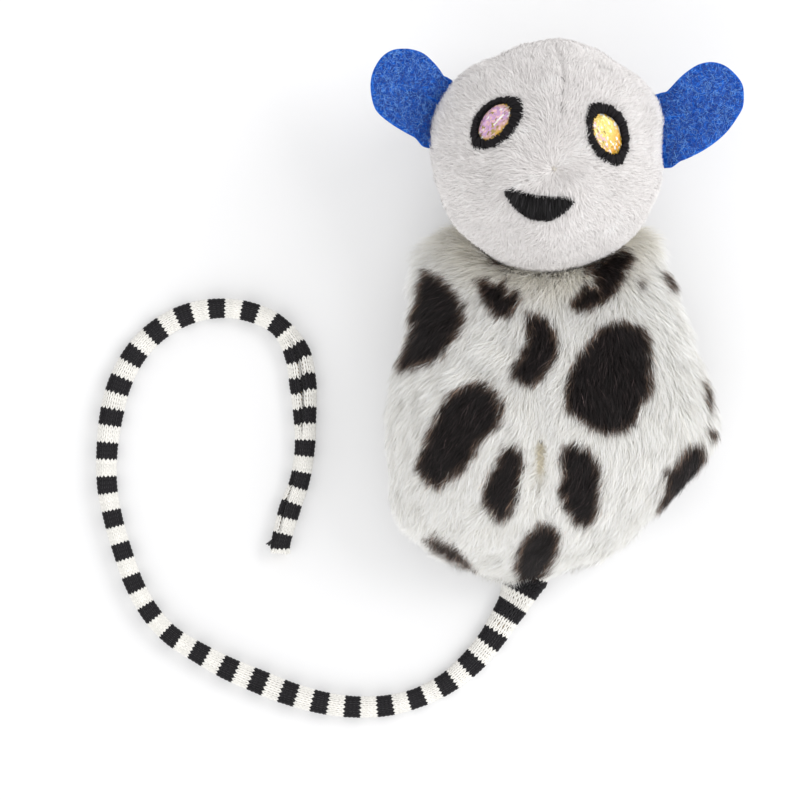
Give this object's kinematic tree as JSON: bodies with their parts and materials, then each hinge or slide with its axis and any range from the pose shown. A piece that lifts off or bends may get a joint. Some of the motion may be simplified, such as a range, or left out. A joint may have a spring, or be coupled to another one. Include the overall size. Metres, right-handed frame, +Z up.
{
  "type": "stuffed cat toy",
  "caption": "Stuffed animal cat toy with a plush head, felt ears, a spotted fur body and a long striped knitted tail that lies in a loop.",
  "frame": {"origin": "centre of the flat back that the body lies on, at the height of the surface", "axes": "+Z up from the surface through the belly and face, +Y from the body to the top of the head; left is towards -X, as the viewer sees the face"},
  "size_m": [0.1404, 0.1464, 0.0506],
  "materials": {
    "spotted_fur": "long pile faux fur, off-white with near-black spots",
    "head_plush": "short dense plush, slight sheen",
    "blue_felt": "matt fibrous felt",
    "striped_knit": "fine stocking knit in black and cream bands",
    "black_thread": "satin stitch embroidery thread",
    "pale_thread": "spun sewing thread",
    "iridescent_film": "crinkled iridescent film",
    "fibre_fill": "loose fibre stuffing",
    "pouch_cloth": "plain woven cloth"
  },
  "bodies": {
    "body": {"body_front_panel": "spotted_fur", "body_back_panel": "spotted_fur", "body_stuffing": "fibre_fill", "catnip_pouch": "pouch_cloth", "belly_closing_stitch": "pale_thread"},
    "neck": {"neck_thread": "pale_thread"},
    "head": {"face_left_panel": "head_plush", "face_right_panel": "head_plush", "head_back_panel": "head_plush", "head_stuffing": "fibre_fill", "forehead_stitches": "black_thread", "bridge_tack": "pale_thread", "nose_embroidery": "black_thread", "eye_ring_left": "black_thread", "eye_film_left": "iridescent_film", "eye_ring_right": "black_thread", "eye_film_right": "iridescent_film"},
    "left_ear": {"ear_left": "blue_felt"},
    "right_ear": {"ear_right": "blue_felt"},
    "tail_base": {"tail_root": "striped_knit"},
    "tail": {"tail_tube": "striped_knit"}
  },
  "joints": [
    {"name": "head_turn", "type": "hinge", "parent": "body", "child": "neck", "pos_m": [-0.0015, 0.0532, 0.0243], "axis": [0, -0.9063, -0.4226], "range_deg": [-25, 25]},
    {"name": "head_nod", "type": "hinge", "parent": "neck", "child": "head", "pos_m": [-0.0015, 0.0532, 0.0243], "axis": [0.9945, -0.1045, 0], "range_deg": [-15, 15]},
    {"name": "ear_left_fold", "type": "hinge", "parent": "head", "child": "left_ear", "pos_m": [-0.02511, 0.06245, 0.0243], "axis": [0.3173, 0.9483, 0], "range_deg": [-35, 45], "stiffness_Nm_per_rad": 0.0004},
    {"name": "ear_right_fold", "type": "hinge", "parent": "head", "child": "right_ear", "pos_m": [0.02293, 0.05844, 0.0243], "axis": [0.1288, -0.9917, 0], "range_deg": [-35, 45], "stiffness_Nm_per_rad": 0.0004},
    {"name": "tail_swing", "type": "hinge", "parent": "body", "child": "tail_base", "pos_m": [-0.0041, -0.0375, 0.0024], "axis": [0, 0, 1], "range_deg": [-12, 60]},
    {"name": "tail_lift", "type": "hinge", "parent": "tail_base", "child": "tail", "pos_m": [-0.0094, -0.04539, 0.0024], "axis": [0, 1, 0], "range_deg": [0, 60]}
  ]
}
